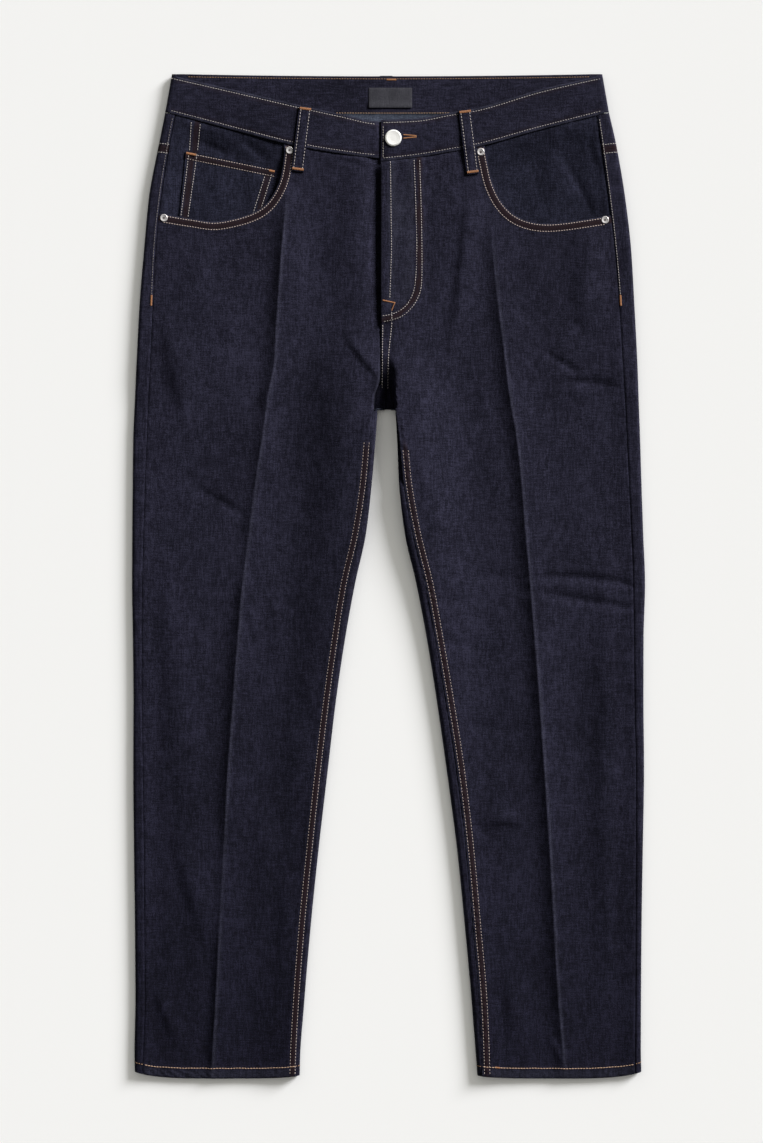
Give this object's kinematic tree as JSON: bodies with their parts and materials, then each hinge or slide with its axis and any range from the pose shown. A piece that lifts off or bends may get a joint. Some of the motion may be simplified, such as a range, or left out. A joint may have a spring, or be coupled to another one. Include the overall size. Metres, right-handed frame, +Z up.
{
  "type": "carrot fit jeans, laid flat",
  "caption": "Carrot fit jeans in raw indigo denim, laid flat front up, with a wide seat and thigh, tapered legs, curved front pockets and a pressed crease.",
  "frame": {"origin": "on the surface the jeans lie on, under the middle of their box", "axes": "+Z up out of the surface, +Y from the hems to the waist, +X towards the wearer's left side; the front faces +Z"},
  "size_m": [0.5232, 1.0248, 0.0121],
  "materials": {
    "denim": "raw indigo twill, matt",
    "metal": "pale satin steel",
    "label_cloth": "charcoal woven tape, bare",
    "thread": "tan and rust topstitching thread"
  },
  "bodies": {
    "root": {"front_right": "denim", "front_left": "denim", "back_right": "denim", "back_left": "denim", "yoke_right": "denim", "yoke_left": "denim", "waistband": "denim", "pocket_facing_right": "denim", "pocket_facing_left": "denim", "coin_pocket": "denim", "back_pocket_right": "denim", "back_pocket_left": "denim", "belt_loop_front_right": "denim", "belt_loop_front_left": "denim", "belt_loop_back_right": "denim", "belt_loop_back_centre": "denim", "belt_loop_back_left": "denim", "button": "metal", "rivet_right_inner": "metal", "rivet_right_outer": "metal", "rivet_left_inner": "metal", "rivet_left_outer": "metal", "label": "label_cloth"}
  },
  "joints": []
}
